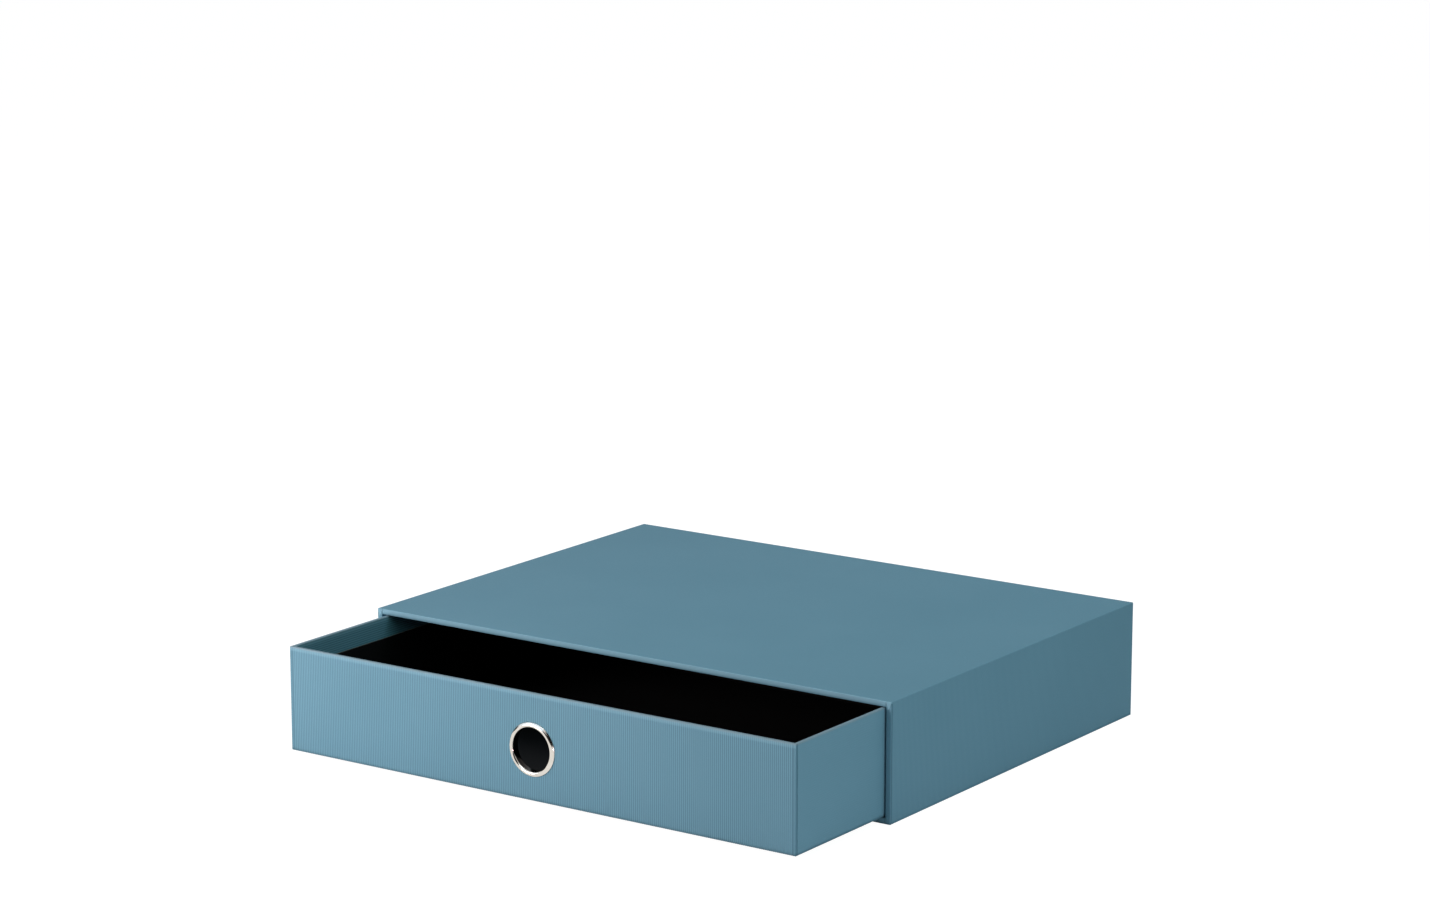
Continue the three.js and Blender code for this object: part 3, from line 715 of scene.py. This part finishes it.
def makeDrawerCover():
    wrap = drawerWrap
    low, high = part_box("drawer_cover_paper")
    low, high = Vector(low), Vector(high)
    size, centre = high - low, (low + high) / 2
    piece = startCube("drawerCover", low, high)
    pick(piece, "faces", lambda face: face.normal.z > facing)
    bpy.ops.mesh.delete(type="FACE")

    # The rim, and the edge turned in below it
    pick(piece, "edges", lambda edge: middle(edge).z > high.z - hair)
    insetLoop(size, wrap["wall"], (0, 1), centre)
    bpy.ops.mesh.extrude_region_move(TRANSFORM_OT_translate={"value": (0, 0, -wrap["turnIn"])})

    # Folds: every edge of the box and both sides of the rim
    def isFold(edge):
        point = middle(edge) - centre
        outX = abs(abs(point.x) - size.x / 2) < hair
        outY = abs(abs(point.y) - size.y / 2) < hair
        inX = abs(abs(point.x) - size.x / 2 + wrap["wall"]) < hair
        inY = abs(abs(point.y) - size.y / 2 + wrap["wall"]) < hair
        bottom = abs(point.z + size.z / 2) < hair
        top = abs(point.z - size.z / 2) < hair
        corner = outX and outY and runsAlong(edge, 2)
        across = (bottom or top) and (outX or outY)
        inner = top and ((inX and runsAlong(edge, 1)) or (inY and runsAlong(edge, 0)))
        return corner or across or inner

    pick(piece, "edges", isFold)
    bpy.ops.mesh.bevel(offset=wrap["foldRadius"], segments=wrap["foldSteps"], affect="EDGES")

    # Ribs over the front, the underside and the back
    half = size.x / 2 - wrap["foldRadius"]
    frontStart, frontPitch = ribSpan(low.x, high.x, wrap["foldRadius"], wrap["frontRibs"])
    parts = 1
    for cuts in wrap["frontRibCuts"]:
        shortest = wrap["frontRibReach"] * 2 * half / parts
        pick(piece, "edges", lambda edge: (
            runsAlong(edge, 0, shortest) and abs(middle(edge).x - centre.x) < half
        ))
        bpy.ops.mesh.subdivide(number_cuts=cuts)
        parts *= cuts + 1

    # Joints on the side walls, where the front's and the back's sheet comes round the corner
    planes = (size.y / 2 - wrap["seamInset"], size.y / 2 - wrap["seamInset"] - wrap["slit"])

    def onSide(face):
        point = face.calc_center_median() - centre
        inWall = abs(point.x) > size.x / 2 - wrap["wall"] - hair
        aboveFold = point.z > -size.z / 2 + wrap["foldRadius"] / 2
        return inWall and aboveFold and abs(point.y) < size.y / 2 - wrap["foldRadius"]

    for end in (-1, 1):
        for plane in planes:
            pick(piece, "faces", onSide)
            bpy.ops.mesh.bisect(plane_co=(0, centre.y + end * plane, 0), plane_no=(0, 1, 0))
        pick(piece, "faces", lambda face: onSide(face) and (
            planes[1] < end * (face.calc_center_median().y - centre.y) < planes[0]
        ))
        bpy.ops.mesh.delete(type="FACE")

    # Level ribs on the sides, outside and on the turned-in edge
    lowest = low.z + wrap["foldRadius"]
    highest = high.z - wrap["foldRadius"]
    sideHeight = highest - lowest
    turnInHeight = wrap["turnIn"] - wrap["foldRadius"]

    def betweenJoints(point):
        return abs(point.y - centre.y) < planes[1] + hair

    def onOutside(point):
        return abs(point.x - centre.x) > size.x / 2 - hair and betweenJoints(point)

    def onInside(point):
        return abs(abs(point.x - centre.x) - size.x / 2 + wrap["wall"]) < hair and betweenJoints(point)

    def outerUpright(edge):
        return runsAlong(edge, 2) and onOutside(middle(edge))

    def innerUpright(edge):
        return runsAlong(edge, 2) and onInside(middle(edge))

    for upright, ribs in ((outerUpright, wrap["sideRibs"]), (innerUpright, wrap["turnInRibs"])):
        for cuts in (ribs - 1, ribColumns - 1):
            pick(piece, "edges", upright)
            bpy.ops.mesh.subdivide(number_cuts=cuts)

    # The waves: upright on front and back, level on the sides
    ribWave(
        piece, lambda vert: abs(vert.co.x - centre.x) < half - hair,
        0, frontStart, frontPitch, wrap["ribDepth"],
    )
    ribWave(
        piece,
        lambda vert: onOutside(vert.co) and lowest + hair < vert.co.z < highest - hair,
        2, lowest, sideHeight / wrap["sideRibs"], wrap["outerSideDepth"],
    )
    turnInFoot = high.z - wrap["turnIn"]
    ribWave(
        piece,
        lambda vert: onInside(vert.co) and turnInFoot + hair < vert.co.z < highest - hair,
        2, turnInFoot, turnInHeight / wrap["turnInRibs"], wrap["ribDepth"],
    )

    finishSheet(piece, wrap["paper"])
    cutFingerHole(piece, centre, low)
    coat(piece, drawerCoverFinish())
    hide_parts("drawer_cover_paper")
    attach(piece, "drawer")
    print("drawer cover:", len(piece.data.polygons), "faces")


def cutFingerHole(piece, centre, low):
    # A round cutter through the front wall alone
    wrap = drawerWrap
    bpy.ops.object.select_all(action="DESELECT")
    bpy.ops.mesh.primitive_cylinder_add(
        vertices=wrap["holeSteps"], radius=wrap["holeRadius"], depth=wrap["cutterDepth"],
        location=(centre.x, low.y, low.z + wrap["holeHeight"]), rotation=(math.pi / 2, 0, 0),
    )
    cutter = bpy.context.object
    bpy.ops.object.select_all(action="DESELECT")
    bpy.context.view_layer.objects.active = piece
    piece.select_set(True)
    hole = piece.modifiers.new("finger hole", "BOOLEAN")
    hole.operation = "DIFFERENCE"
    hole.object = cutter
    hole.solver = "EXACT"
    bpy.ops.object.modifier_apply(modifier=hole.name)
    bpy.data.objects.remove(cutter, do_unlink=True)


# Finger ring

ringForm = {
    "outer": 14.6 * mm,
    "bore": 11.9 * mm,
    "metal": 0.5 * mm,
    "dome": 1.3 * mm,
    "lean": 1.8,                 # above 1 the dome's crest lies nearer the bore
    "curl": 0.65 * mm,
    "back": 3.15 * mm,           # where the curl behind the washer starts
    "paperGap": 0.02 * mm,
    "segments": 160,
    "steps": 10,
    "smoothDegrees": 50,
}


def domePoint(angle, inset):
    # (radius, depth) on the flange's dome, or on its inside where inset is the metal
    form = ringForm
    width = form["outer"] - form["bore"] - 2 * inset
    share = ((1 + math.cos(angle)) / 2) ** form["lean"]
    return (form["bore"] + inset + width * share, -(form["dome"] - inset) * math.sin(angle))


def ringSection():
    # Round the sheet metal: outside first and then back along its inside
    form = ringForm
    section = []
    for step in range(form["steps"] + 1):
        section.append(domePoint(math.pi * step / form["steps"], 0))
    curlR = form["bore"] + form["metal"] / 2 + form["curl"]
    outerCurl = form["curl"] + form["metal"] / 2
    for step in range(form["steps"] + 1):
        angle = math.pi * (1 - step / form["steps"])
        section.append((curlR + outerCurl * math.cos(angle), form["back"] + outerCurl * math.sin(angle)))
    innerCurl = form["curl"] - form["metal"] / 2
    for step in range(form["steps"] + 1):
        angle = math.pi * step / form["steps"]
        section.append((curlR + innerCurl * math.cos(angle), form["back"] + innerCurl * math.sin(angle)))
    for step in range(form["steps"] + 1):
        radius, depth = domePoint(math.pi * (1 - step / form["steps"]), form["metal"])
        section.append((radius, depth - form["paperGap"]))
    return section


def makeRing(material):
    form = ringForm
    low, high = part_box("finger_ring")
    face = Vector(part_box("drawer_cover_paper")[0]).y
    centre = Vector(((low[0] + high[0]) / 2, face, (low[2] + high[2]) / 2))
    section = ringSection()
    bpy.ops.object.select_all(action="DESELECT")
    radius, depth = section[0]
    bpy.ops.mesh.primitive_circle_add(
        vertices=form["segments"], radius=radius, location=centre + Vector((0, depth, 0)),
        rotation=(math.pi / 2, 0, 0),
    )
    piece = bpy.context.object
    piece.name = "fingerRing"
    bpy.ops.object.transform_apply(location=True, rotation=True, scale=True)
    bpy.ops.object.mode_set(mode="EDIT")
    bpy.ops.mesh.select_mode(type="EDGE")
    bpy.ops.mesh.select_all(action="SELECT")
    for (lastRadius, lastDepth), (radius, depth) in zip(section, section[1:]):
        bpy.ops.mesh.extrude_region_move(
            TRANSFORM_OT_translate={"value": (0, depth - lastDepth, 0)}
        )
        share = radius / lastRadius
        bpy.ops.transform.resize(value=(share, 1, share), center_override=centre)
    pick(piece, "edges", lambda edge: edge.is_boundary)
    bpy.ops.mesh.bridge_edge_loops()
    bpy.ops.mesh.select_all(action="SELECT")
    bpy.ops.mesh.remove_doubles(threshold=weld)
    bpy.ops.mesh.normals_make_consistent(inside=False)
    bpy.ops.object.mode_set(mode="OBJECT")
    bpy.ops.object.shade_smooth_by_angle(angle=math.radians(form["smoothDegrees"]))
    coat(piece, material)
    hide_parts("finger_ring")
    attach(piece, "drawer")
    print("finger ring:", len(piece.data.polygons), "faces")


# Finishes on the CAD nodes that stay

def sheetGroove(axis, start):
    # Ribs across a flat sheet, along one axis; their grooves get painted shade
    def grooveShade(finish, *place):
        return grooves(finish, place[axis], start, coverPaper["sheetPitch"])
    return grooveShade


def finishNodes(board):
    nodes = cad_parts
    for name, node in nodes.items():
        if name.endswith("_board"):
            coat(node, board)
    sleeveLining = liningPaperFinish("sleeve lining paper")
    drawerFloor = liningPaperFinish("drawer floor lining paper")
    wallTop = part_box("drawer_wall_lining")[1][2]
    drawerWalls = liningPaperFinish("drawer wall lining paper", wallTop)
    coat(nodes["sleeve_lining_paper"], sleeveLining)
    coat(nodes["sleeve_back_lining"], sleeveLining)
    coat(nodes["drawer_floor_lining"], drawerFloor)
    coat(nodes["drawer_wall_lining"], drawerWalls)
    for name, axis in (("sleeve_base_paper", 1), ("sleeve_back_paper", 2)):
        low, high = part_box(name)
        paper = coverPaperFinish(name.replace("_", " "), low, high, sheetGroove(axis, low[axis]))
        coat(nodes[name], paper)
    print("finishes on the nodes that stay")


# Studio

nearBlack = (0.004, 0.004, 0.004, 1)

studio = {
    "cameraPlace": (1.1997, -1.7575, 0.6070),
    "azimuth": 34.94,
    "elevation": 12.055,
    "lens": 99.99,
    "sensor": 36,
    "ambient": 0.15,
    "ambientColour": (0.87, 1.0, 1.0, 1),
    "lamps": {
        # name: place, width and height, watts, colour
        "keyLamp": ((-0.42, -0.82, 0.24), (0.3, 0.3), 6.95, (1.0, 0.86, 0.83)),
        "topLamp": ((0.15, 0.15, 1.4), (0.8, 0.8), 9.0, (0.885, 0.962, 1.0)),
        "rightLamp": ((1.2, -0.35, 0.45), (0.5, 0.5), 2.55, (0.6, 1.0, 0.9)),
        "lowRightLamp": ((1.1, -0.5, 0.028), (0.3, 0.05), 1.95, (1.0, 0.64, 0.77)),
        "backLamp": ((-0.2, 1.2, 0.12), (0.6, 0.15), 2.0, (1.0, 1.0, 1.0)),
    },
    "lampAim": (0, -0.04, 0.03),
    "unmirrored": ("rightLamp", "backLamp"),     # no surface mirrors these
    "cards": {
        # name: place, width and height, colour that the metal mirrors
        "leftCard": ((-2.4, -0.1, 0.3), (3.0, 0.8), nearBlack),
        "frontCard": ((0.54, -2.0, 0.57), (1.9, 1.1), nearBlack),
        "rightCard": ((1.17, -0.5, 0.9), (2.6, 1.5), nearBlack),
        "topCard": ((-0.65, -0.925, 1.07), (1.8, 2.2), (1.15, 1.37, 1.6, 1)),
    },
    "cardAim": (0, -0.2, 0.03),
    "floor": colour(236, 236, 236),
    "floorGlow": 1.22,                           # to the camera and in mirrors only
    "floorGlowShare": 0.8,
    "floorSize": 12,
    "floorDrop": 0.01 * mm,
}


def aimAt(thing, target):
    way = Vector(target) - thing.location
    thing.rotation_euler = way.to_track_quat("-Z", "Y").to_euler()


def addArea(name, place, size, power, tint):
    bpy.ops.object.light_add(type="AREA", location=place)
    lamp = bpy.context.object
    lamp.name = name
    lamp.data.shape = "RECTANGLE"
    lamp.data.size, lamp.data.size_y = size
    lamp.data.energy = power
    lamp.data.color = tint
    aimAt(lamp, studio["lampAim"])
    lamp.visible_glossy = name not in studio["unmirrored"]


def addCard(name, place, size, tint):
    # A card that is only seen mirrored: it lights nothing and casts no shade
    bpy.ops.mesh.primitive_plane_add(size=1, location=place)
    card = bpy.context.object
    card.name = name
    card.scale = (size[0], size[1], 1)
    aimAt(card, studio["cardAim"])
    bpy.ops.object.transform_apply(location=True, rotation=True, scale=True)
    card.visible_camera = False
    card.visible_diffuse = False
    card.visible_shadow = False
    card.visible_transmission = False
    paint = Finish(bpy.data.materials.new(name))
    glow = paint.node("Emission", inputs={"Color": tint, "Strength": 1.0})
    paint.node("OutputMaterial", inputs={"Surface": paint.wire(glow)})
    coat(card, paint.holder)


def makeStudio():
    bpy.context.scene.view_settings.view_transform = "Standard"
    bpy.ops.object.camera_add(
        location=studio["cameraPlace"],
        rotation=(math.radians(90 - studio["elevation"]), 0, math.radians(studio["azimuth"])),
    )
    camera = bpy.context.object
    camera.data.lens = studio["lens"]
    camera.data.sensor_width = studio["sensor"]
    bpy.context.scene.camera = camera

    for name, (place, size, power, tint) in studio["lamps"].items():
        addArea(name, place, size, power, tint)
    for name, (place, size, tint) in studio["cards"].items():
        addCard(name, place, size, tint)

    world = bpy.data.worlds.new("studio")
    bpy.context.scene.world = world
    sky = Finish(world)
    path = sky.node("LightPath")
    seen = sky.wire(path, "Is Camera Ray") + sky.wire(path, "Is Glossy Ray")
    seen = seen + sky.wire(path, "Is Transmission Ray")
    glow = sky.node(
        "Background", inputs={"Color": studio["ambientColour"], "Strength": studio["ambient"]}
    )
    plain = sky.node("Background", inputs={"Color": white, "Strength": 1.0})
    mixed = sky.node("MixShader", inputs={0: seen, 1: sky.wire(glow), 2: sky.wire(plain)})
    sky.node("OutputWorld", inputs={"Surface": sky.wire(mixed)})

    bpy.ops.mesh.primitive_plane_add(size=studio["floorSize"], location=(0, 0, -studio["floorDrop"]))
    floor = bpy.context.object
    floor.name = "floor"
    paint = Finish(bpy.data.materials.new("floor"))
    path = paint.node("LightPath")
    seen = paint.wire(path, "Is Camera Ray") + paint.wire(path, "Is Glossy Ray")
    base = paint.node("BsdfDiffuse", inputs={"Color": studio["floor"]})
    glow = paint.node("Emission", inputs={"Color": white, "Strength": studio["floorGlow"]})
    mixed = paint.node(
        "MixShader", inputs={0: seen * studio["floorGlowShare"], 1: paint.wire(base), 2: paint.wire(glow)}
    )
    paint.node("OutputMaterial", inputs={"Surface": paint.wire(mixed)})
    coat(floor, paint.holder)
    print("studio: camera,", len(studio["lamps"]), "lamps, world and floor")


metal = nickelFinish("nickel")
makeSleeveCover()
makeDrawerCover()
makeRing(metal)
coat(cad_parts["finger_ring_washer"], metal)
finishNodes(greyBoardFinish("grey board"))
makeStudio()

bpy.context.view_layer.update()
